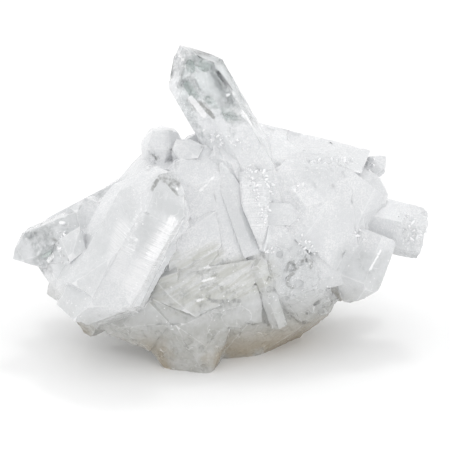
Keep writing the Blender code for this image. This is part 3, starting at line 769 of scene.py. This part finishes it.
def quartz_material():
    material = bpy.data.materials.new("quartz")
    n = Nodes(material)
    shader = n.shader
    where = n.add("TexCoord").outputs["Object"]
    height = n.add("SeparateXYZ")
    n.join(where, height.inputs[0])
    clear, broken, edge = n.value("clarity"), n.value("rough"), n.value("edge")

    clouds = n.cloud(where, 95.0)
    wisps = n.cloud(where, 330.0, detail=6.0, roughness=0.65)
    mottle = n.cloud(where, 1150.0, detail=3.0, roughness=0.6)
    grain = n.cloud(where, 3300.0, detail=2.0)
    steady = n.range(clear, 0.3, 0.9, 1.0, 0.3)
    streaks = n.streaks(where)
    uneven = n.math("ADD", n.math("MULTIPLY", n.math("SUBTRACT", wisps, 0.5), 0.9),
                    n.math("MULTIPLY", n.math("SUBTRACT", mottle, 0.5), 0.35))
    clarity = n.math("ADD", clear, n.math("MULTIPLY", uneven, steady))
    ragged = n.math("MULTIPLY", n.math("SUBTRACT", mottle, 0.5), 1.8)
    dark = n.range(n.math("ADD", n.value("dark_mark_and_painted_shade"), ragged), 0.10, 0.85, 0.0, 1.0)
    dark = n.math("MULTIPLY", dark, n.range(n.value("dark_mark_and_painted_shade"), 0.0, 0.5, 0.0, 1.0))
    uv = n.add("UVMap", uv_map="growth").outputs[0]
    lines = n.lines(uv, 130.0, 3300.0)
    striped = n.math("MULTIPLY", n.math("SUBTRACT", lines, 0.5), 0.9)
    # White marks: white veils and painted highlights, broken up by the growth lines.
    white = n.math("ADD", n.value("white_mark_and_painted_highlight"), n.math("MULTIPLY", ragged, 0.6))
    white = n.range(n.math("ADD", white, striped), 0.25, 0.95, 0.0, 0.95)
    white = n.math("MULTIPLY", white, n.range(n.value("white_mark_and_painted_highlight"), 0.0, 0.3, 0.0, 1.0))
    marked = n.math("MAXIMUM", dark, white)
    passes = n.range(clarity, 0.12, 0.75, MILK_PASSES, 1.0)
    n.join(n.math("MULTIPLY", passes, n.range(marked, 0.0, 1.0, 1.0, 0.25)),
           shader.inputs["Transmission Weight"])

    milk = n.blend(n.range(clouds, 0.38, 0.70, 0.0, 0.8), MILK_WHITE, CLOUD_GREY)
    milk = n.blend(n.range(mottle, 0.44, 0.62, 0.0, 0.6), milk, CLOUD_GREY)
    milk = n.blend(n.range(grain, 0.42, 0.60, 0.0, 0.85), milk, CLOUD_GREY)
    # Glassy grey and painted shade: the grey zones blend the colour to grey.
    glassy = n.math("MULTIPLY", n.value("grey"), n.range(wisps, 0.30, 0.62, 0.45, 1.0))
    milk = n.blend(glassy, milk, GLASSY_AND_PAINTED_SHADE_GREY)
    olive = n.math("MULTIPLY", n.value("plate"), n.range(streaks, 0.35, 0.60, 0.35, 1.0))
    milk = n.blend(olive, milk, PLATE_OLIVE)
    # Painted shade: the colour turns darker grey towards the bottom, below 22 mm, where less light reaches.
    painted_low_shade = n.range(height.outputs["Z"], 0.022, 0.008, 0.0, 1.0)
    milk = n.blend(n.math("MULTIPLY", painted_low_shade, n.range(wisps, 0.3, 0.65, 0.6, 1.0)),
                   milk, PAINTED_LOW_SHADE_GREY)
    stain = n.math("MULTIPLY", n.range(height.outputs["Z"], 0.012, 0.001, 0.0, 1.0),
                   n.range(clouds, 0.40, 0.58, 0.1, 0.95))
    milk = n.blend(stain, milk, RUST)
    # Painted sheen: the silk bands blend the colour to white along the growth lines.
    painted_sheen = n.math("MULTIPLY", n.value("painted_sheen"), n.range(lines, 0.35, 0.65, 0.35, 1.0))
    milk = n.blend(painted_sheen, milk, PAINTED_SHEEN_WHITE)
    tint = n.blend(n.range(clarity, 0.2, 0.8, 0.0, 1.0), milk, CLEAR_TINT)
    # Healed cracks are the stone's own white lines; the specks added to them are painted glints.
    bright = n.math("MAXIMUM", n.cracks(where, wisps), n.painted_glints(where, n.value("painted_glint_share")))
    # Painted highlight: the outward edges of the crystals are painted lighter, as thin lines of light along them.
    bright = n.math("MAXIMUM", bright, n.math("MULTIPLY", n.math("POWER", edge, 6.0), 0.65))
    bright = n.math("MAXIMUM", bright, white)
    # Dark marks: strokes and cracks in their own grey, and painted shade in the pits and on the hood.
    tint = n.blend(dark, tint, MARK_AND_PAINTED_SHADE_GREY)
    # Cracks in their own white, and painted highlights from the glints, the edges and the white marks.
    n.join(n.blend(bright, tint, CRACK_WHITE), shader.inputs["Base Color"])

    rough = n.math("ADD", n.math("MULTIPLY", broken, 0.22), n.range(wisps, 0.4, 0.75, 0.03, 0.12))
    rough = n.math("ADD", rough, n.math("MULTIPLY", painted_sheen, 0.2))
    n.join(rough, shader.inputs["Roughness"])

    line_bump = n.add("Bump")
    line_bump.inputs["Strength"].default_value = 0.35
    line_bump.inputs["Distance"].default_value = 0.0002
    n.join(lines, line_bump.inputs["Height"])
    skin_bump = n.add("Bump")
    skin_bump.inputs["Strength"].default_value = 0.3
    skin_bump.inputs["Distance"].default_value = 0.0003
    relief = n.math("ADD", wisps, n.math("MULTIPLY", mottle, 0.5))
    n.join(n.math("ADD", relief, n.math("MULTIPLY", grain, 0.5)), skin_bump.inputs["Height"])
    n.join(line_bump.outputs[0], skin_bump.inputs["Normal"])
    grain_bump = n.add("Bump")
    grain_bump.inputs["Distance"].default_value = 0.0004
    n.join(n.math("MULTIPLY", broken, 0.6), grain_bump.inputs["Strength"])
    n.join(n.cloud(where, 900.0, detail=5.0, roughness=0.7), grain_bump.inputs["Height"])
    n.join(skin_bump.outputs[0], grain_bump.inputs["Normal"])
    n.join(grain_bump.outputs[0], shader.inputs["Normal"])

    shader.inputs["IOR"].default_value = QUARTZ_IOR
    absorb = n.add("VolumeAbsorption")
    absorb.inputs["Color"].default_value = ABSORB_TINT
    absorb.inputs["Density"].default_value = ABSORB_DENSITY
    n.join(absorb.outputs[0], n.output.inputs["Volume"])
    return material


cluster.data.materials.append(quartz_material())
print("quartz passes", MILK_PASSES, "of the light where it is milky")

# %% [markdown]
# ## Veils inside the clear points
# A clear point is never empty: cracks that healed while it grew hang in it as thin veils,
# white, grey-green or brown with clay. A veil could be painted on the skin, but then it
# would not move behind the faces when the viewer walks round. So each is a thin sheet of
# its own just under a face: a plane with its corners cut off, subdivided, wrinkled by a
# Displace modifier and given thickness by Solidify. Sheets of one colour are joined.

# %% Thin sheets under the faces
LEFT_FACE = (-0.64, -0.76, -0.13)
FRONT_FACE = (0.18, -0.89, 0.42)
TOP_LEFT_FACE = (-0.81, -0.42, 0.40)
RIDGE = (0.5, -0.75, 0.45)
VEILS = (
    ("white", (-9.2, 5.0, 70.9), (-5.6, 0.8, 69.0), 2.8, FRONT_FACE),
    ("white", (-8.9, 2.6, 70.2), (-9.3, 1.0, 66.2), 2.2, TOP_LEFT_FACE),
    ("dark", (-1.0, -0.15, 67.8), (2.2, -0.1, 62.9), 1.1, RIDGE),
    ("white", (-6.7, -1.2, 61.8), (-3.9, -3.1, 58.3), 1.5, LEFT_FACE),
    ("white", (-8.9, 0.4, 66.5), (-9.9, 0.9, 63.6), 0.8, TOP_LEFT_FACE),
    ("white", (-7.1, -1.5, 67.0), (-5.2, -2.8, 63.4), 1.2, FRONT_FACE),
    ("green", (1.5, -2.8, 60.2), (3.4, -4.2, 56.4), 4.4, FRONT_FACE),
    ("green", (-7.7, 1.4, 70.0), (-6.7, -1.0, 67.6), 2.2, TOP_LEFT_FACE),
    ("green", (-8.0, -0.4, 65.4), (-5.8, -1.8, 61.6), 2.8, LEFT_FACE),
    ("green", (-5.2, 0.6, 69.4), (-2.9, -0.2, 68.2), 2.4, FRONT_FACE),
    ("green", (-3.6, -2.6, 62.4), (-1.4, -3.6, 59.2), 2.0, FRONT_FACE),
    ("brown", (-4.7, -2.7, 61.2), (-2.1, -4.5, 58.0), 1.0, (-0.3, -0.93, 0.2)),
    ("brown", (-7.6, -0.8, 61.6), (-5.9, -1.7, 58.6), 0.4, LEFT_FACE),
    ("white", (-43.6, -10.4, 29.0), (-38.6, -9.9, 31.4), 2.0, (-0.02, -0.75, 0.66)),
    ("green", (-44.4, -11.0, 26.6), (-40.0, -12.4, 27.4), 2.6, (-0.3, -0.75, 0.5)),
    ("white", (-41.0, -12.8, 25.0), (-38.0, -12.6, 28.2), 1.2, (-0.3, -0.75, 0.5)),
)
VEIL_THICK = 0.12
VEIL_WRINKLE = 0.5
VEIL_CUTS = 11
CORNER_CUT = 0.36


def plain_sheet(width, length):
    """A flat sheet at the origin with two opposite corners cut off, subdivided."""
    bpy.ops.object.select_all(action="DESELECT")
    bpy.ops.mesh.primitive_plane_add(size=1)
    bpy.ops.object.mode_set(mode="EDIT")
    bpy.ops.transform.resize(value=(width * MM, length * MM, 1.0))
    for side in (1, -1):
        bpy.ops.mesh.select_all(action="SELECT")
        bpy.ops.mesh.bisect(plane_co=(side * width * CORNER_CUT * MM, side * length * CORNER_CUT * MM, 0),
                            plane_no=(side / width, side / length, 0), clear_outer=True)
    bpy.ops.mesh.select_all(action="SELECT")
    bpy.ops.mesh.quads_convert_to_tris()
    bpy.ops.mesh.subdivide(number_cuts=VEIL_CUTS)
    bpy.ops.object.mode_set(mode="OBJECT")
    return bpy.context.active_object


def wrinkle(sheet, seed):
    """Wrinkles the sheet with clouds of its own and makes it a thin closed solid."""
    clouds = bpy.data.textures.new("wrinkles", "CLOUDS")
    clouds.noise_scale = 1.3 * MM
    clouds.noise_depth = 3
    bend = sheet.modifiers.new("wrinkle", "DISPLACE")
    bend.texture = clouds
    bend.strength = VEIL_WRINKLE * MM
    bend.texture_coords = "OBJECT"
    bpy.ops.object.empty_add(location=(0, 0, seed * 3.7 * MM))
    origin = bpy.context.active_object
    bend.texture_coords_object = origin
    bpy.context.view_layer.objects.active = sheet
    thicken = sheet.modifiers.new("thickness", "SOLIDIFY")
    thicken.thickness = VEIL_THICK * MM
    for modifier in ("wrinkle", "thickness"):
        bpy.ops.object.modifier_apply(modifier=modifier)
    bpy.data.objects.remove(origin)


def hang(sheet, start, end, facing):
    """Turns the sheet so that it runs from start to end under a face that looks that way."""
    along = (Vector(end) - Vector(start)).normalized()
    across = along.cross(Vector(facing)).normalized()
    outward = across.cross(along)
    turn = Matrix((across, along, outward)).transposed()
    sheet.matrix_world = Matrix.Translation((Vector(start) + Vector(end)) / 2 * MM) @ turn.to_4x4()
    bpy.ops.object.select_all(action="DESELECT")
    sheet.select_set(True)
    bpy.ops.object.transform_apply(location=True, rotation=True, scale=True)


def veil_material(name, colour, passes):
    material = bpy.data.materials.new(name)
    n = Nodes(material)
    where = n.add("TexCoord").outputs["Object"]
    wisps = n.cloud(where, 900.0, detail=5.0, roughness=0.65)
    pale = tuple(min(1.0, part * 1.25) for part in colour[:3]) + (1.0,)
    n.join(n.blend(n.range(wisps, 0.35, 0.65, 0.0, 1.0), colour, pale),
           n.shader.inputs["Base Color"])
    n.join(n.range(wisps, 0.36, 0.62, *passes), n.shader.inputs["Transmission Weight"])
    n.shader.inputs["Roughness"].default_value = 0.25
    n.shader.inputs["IOR"].default_value = VEIL_IOR
    return material


VEIL_IOR = 1.02
VEIL_COLOURS = {
    "white": ((0.95, 0.955, 0.96, 1.0), (0.0, 0.5)),
    "green": ((0.74, 0.79, 0.77, 1.0), (0.3, 0.75)),
    "brown": ((0.36, 0.32, 0.28, 1.0), (0.05, 0.5)),
    "dark": ((0.10, 0.11, 0.12, 1.0), (0.0, 0.5)),
}
veils = []
for finish, (colour, passes) in VEIL_COLOURS.items():
    sheets = []
    for number, (kind, start, end, width, facing) in enumerate(VEILS):
        if kind == finish:
            sheet = plain_sheet(width, (Vector(end) - Vector(start)).length)
            wrinkle(sheet, number)
            hang(sheet, start, end, facing)
            sheets.append(sheet)
    bpy.ops.object.select_all(action="DESELECT")
    for sheet in sheets:
        sheet.select_set(True)
    bpy.context.view_layer.objects.active = sheets[0]
    bpy.ops.object.join()
    sheets[0].name = finish + "_veils"
    sheets[0].data.materials.append(veil_material(finish + "_veil", colour, passes))
    veils.append(sheets[0])
print(len(VEILS), "veils in", len(veils), "colours,",
      sum(len(veil.data.polygons) for veil in veils), "faces")

# %% [markdown]
# ## Druse
# Where two crystals meet, and along broken edges, a crust of tiny late crystals glitters.
# Such a crust is called druse. One small crystal is modelled from a six-sided cylinder
# whose top is drawn out to a point. Copies are strewn along a few lines, set on the
# nearest place of the cluster's skin and leaned at random, so the light catches each one
# differently.

# %% Small crystals on edges and in corners
DRUSE = (
    ("wedge's left edge", ((5.5, -9.4, 46.5), (7.1, -12.3, 43.8), (8.0, -13.7, 40.6), (9.4, -16.7, 33.1)), 46, 1.3),
    ("wedge's right edge", ((10.1, -11.3, 46.0), (11.3, -11.3, 42.3), (9.4, -15.5, 36.4)), 22, 1.5),
    ("wedge's middle", ((6.6, -12.3, 43.4), (9.4, -15.5, 36.4)), 22, 1.0),
    ("wedge's top", ((4.6, -10.4, 47.2), (10.8, -10.6, 46.6)), 14, 1.2),
    ("band on the right top", ((19.6, -3.7, 47.1), (25.5, -3.4, 46.5), (31.0, 0.5, 45.7)), 30, 1.4),
    ("tall point's root", ((-3.9, -3.4, 53.5), (0.8, -6.0, 52.7), (5.5, -6.4, 51.9)), 26, 1.4),
    ("right block's notch", ((16.6, -11.4, 42.3), (18.2, -10.6, 43.3)), 8, 1.4),
    ("right block's rib", ((15.2, -12.6, 36.8), (17.5, -13.2, 36.5)), 7, 1.4),
    ("pitted patch", ((9.4, -15.3, 28.4), (11.3, -16.1, 29.2)), 9, 1.2),
    ("low prism's top", ((30.2, -10.4, 31.3), (32.6, -8.8, 30.0)), 9, 1.4),
    ("corner point", ((36.1, 6.1, 43.9), (35.1, 3.7, 42.2)), 10, 1.4),
    ("stub", ((42.5, -2.4, 32.9), (46.7, -5.1, 28.8), (43.6, -4.9, 27.5)), 26, 1.5),
    ("stub's end", ((49.0, -2.0, 30.0), (49.0, -1.0, 23.0)), 14, 1.4),
    ("block's corner", ((12.0, -12.1, 38.1), (18.2, -15.6, 31.5), (21.3, -14.5, 28.6)), 22, 1.4),
    ("left point's foot", ((-38.0, -9.0, 32.8), (-36.0, -15.0, 27.0)), 12, 1.4),
    ("low back", ((-12.0, 24.0, 20.0), (10.0, 25.0, 22.0)), 30, 1.7),
)
DRUSE_SCATTER = 1.1
DRUSE_LEAN = 0.7
DRUSE_SUNK = 0.45
GOLDEN = 0.618034


def small_crystal():
    """A six-sided crystal one unit long, a third of that wide, with a blunt point."""
    bpy.ops.object.select_all(action="DESELECT")
    bpy.ops.mesh.primitive_cylinder_add(vertices=6, radius=0.2, depth=0.7, location=(0, 0, 0.35))
    bpy.ops.object.mode_set(mode="EDIT")
    bpy.ops.mesh.select_mode(type="FACE")
    bpy.ops.mesh.select_all(action="DESELECT")
    bm = bmesh.from_edit_mesh(bpy.context.active_object.data)
    for face in bm.faces:
        face.select_set(face.normal.z > 0.5)
    bmesh.update_edit_mesh(bpy.context.active_object.data)
    bpy.ops.mesh.extrude_region_move(TRANSFORM_OT_translate={"value": (0.0, 0.0, 0.3)})
    bpy.ops.transform.resize(value=(0.16, 0.3, 1.0))
    bpy.ops.object.mode_set(mode="OBJECT")
    bpy.ops.object.transform_apply(location=True)
    return bpy.context.active_object


def scatter(seed):
    """Three even, repeatable numbers from -1 to 1."""
    return Vector([2.0 * ((seed * step) % 1.0) - 1.0 for step in (GOLDEN, 0.754878, 0.569840)])


def strew(crystal, host):
    """Copies of the crystal along the lines of DRUSE, joined in one piece."""
    copies = []
    for row, (_, bends, count, size) in enumerate(DRUSE):
        bends = [Vector(bend) for bend in bends]
        for number in range(count):
            chance = scatter(row * 31 + number + 1)
            step = (number + 0.5) / count * (len(bends) - 1)
            start, end = bends[int(step)], bends[int(step) + 1]
            near = start.lerp(end, step % 1.0) + chance * DRUSE_SCATTER
            _, place, normal, _ = host.closest_point_on_mesh(near * MM)
            lean = (normal + scatter(row * 57 + number * 3 + 5) * DRUSE_LEAN).normalized()
            long = size * (0.75 + 0.45 * chance.x) * MM
            copy = crystal.copy()
            copy.data = crystal.data.copy()
            bpy.context.scene.collection.objects.link(copy)
            turn = lean.to_track_quat("Z", "Y").to_matrix().to_4x4()
            copy.matrix_world = (Matrix.Translation(place - lean * long * DRUSE_SUNK) @ turn
                                 @ Matrix.Diagonal((long, long, long, 1.0)))
            copies.append(copy)
    bpy.ops.object.select_all(action="DESELECT")
    for copy in copies:
        copy.select_set(True)
    bpy.context.view_layer.objects.active = copies[0]
    bpy.ops.object.transform_apply(location=True, rotation=True, scale=True)
    bpy.ops.object.join()
    bpy.data.objects.remove(crystal)
    return copies[0]


def druse_material():
    material = bpy.data.materials.new("druse")
    n = Nodes(material)
    where = n.add("TexCoord").outputs["Object"]
    clouds = n.cloud(where, 700.0, detail=3.0)
    n.join(n.blend(n.range(clouds, 0.42, 0.66, 0.0, 0.6), CRACK_WHITE, CLOUD_GREY),
           n.shader.inputs["Base Color"])
    n.shader.inputs["Roughness"].default_value = 0.08
    n.shader.inputs["IOR"].default_value = QUARTZ_IOR
    return material


def wedged_chip():
    """A broken chip of olive quartz, wedged between the blade and the plates."""
    bpy.ops.object.select_all(action="DESELECT")
    bpy.ops.mesh.primitive_cube_add(size=1)
    chip = bpy.context.active_object
    chip.name = "wedged_chip"
    bpy.ops.object.mode_set(mode="EDIT")
    for cut, lean in CHIP_CUTS:
        bpy.ops.mesh.select_all(action="SELECT")
        bpy.ops.mesh.bisect(plane_co=cut, plane_no=lean, clear_outer=True, use_fill=True)
    bpy.ops.mesh.select_all(action="SELECT")
    bpy.ops.mesh.subdivide(number_cuts=5, fractal=0.3, seed=4)
    bpy.ops.object.mode_set(mode="OBJECT")
    chip.scale = Vector(CHIP_SIZE) * MM
    chip.rotation_euler = CHIP_TURN
    chip.location = Vector(CHIP_PLACE) * MM
    bpy.ops.object.transform_apply(location=True, rotation=True, scale=True)
    write_value(chip, "plate", np.ones(len(chip.data.vertices)))
    return chip


CHIP_CUTS = (((0.3, 0.0, 0.4), (0.6, -0.2, 0.75)), ((-0.3, 0.0, 0.35), (-0.7, -0.3, 0.6)),
             ((0.1, -0.4, -0.2), (0.3, -0.8, -0.5)))
CHIP_SIZE = (4.6, 6.0, 7.0)
CHIP_TURN = (0.2, math.radians(38), 0.1)
CHIP_PLACE = (-12.4, -16.2, 23.0)

SLIVERS = (
    ("in the groove beside the wedge", (7.5, -15.0, 27.6), (-0.2, -8.7, 48.2), (0.15, -0.9, 0.4), 5.8, 2.9),
    ("in the notch beside the wedge", (10.4, -12.6, 36.8), (18.4, -12.9, 36.6), (0.1, -0.9, 0.4), 6.0, 3.2),
    ("at the wedge's foot", (9.6, -15.2, 28.8), (10.9, -14.8, 34.6), (0.1, -0.95, 0.2), 2.4, 2.0),
    ("beside the blade", (-13.9, -16.6, 21.6), (-10.9, -16.6, 27.4), (0.1, -0.95, 0.2), 3.6, 3.0),
)


def lay_sliver(crystal, root, tip, facing, width, thick):
    """A flat copy of the small crystal that lies in a gap from root to tip."""
    along = Vector(tip) - Vector(root)
    across = along.cross(Vector(facing)).normalized()
    outward = across.cross(along).normalized()
    copy = crystal.copy()
    copy.data = crystal.data.copy()
    bpy.context.scene.collection.objects.link(copy)
    columns = (across * width / 0.4, outward * thick / 0.36, along)
    copy.matrix_world = Matrix.Translation(Vector(root) * MM) @ (Matrix(columns).transposed() * MM).to_4x4()
    return copy


def slivers_in_gaps(crystal):
    copies = [lay_sliver(crystal, *row[1:]) for row in SLIVERS]
    bpy.ops.object.select_all(action="DESELECT")
    for copy in copies:
        copy.select_set(True)
    bpy.context.view_layer.objects.active = copies[0]
    bpy.ops.object.transform_apply(location=True, rotation=True, scale=True)
    bpy.ops.object.join()
    write_value(copies[0], "grey", np.full(len(copies[0].data.vertices), 0.35))
    return copies[0]


crystal = small_crystal()
slivers = slivers_in_gaps(crystal)
slivers.name = "slivers"
slivers.data.materials.append(cluster.data.materials[0])
chip = wedged_chip()
chip.data.materials.append(cluster.data.materials[0])
druse = strew(crystal, cluster)
druse.name = "druse"
druse.data.materials.append(druse_material())
print("druse of", len(druse.data.polygons), "faces")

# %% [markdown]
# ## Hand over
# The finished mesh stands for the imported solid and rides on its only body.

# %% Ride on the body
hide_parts("quartz_cluster")
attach(cluster, "root")
for piece in veils + [druse, chip, slivers]:
    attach(piece, "root")
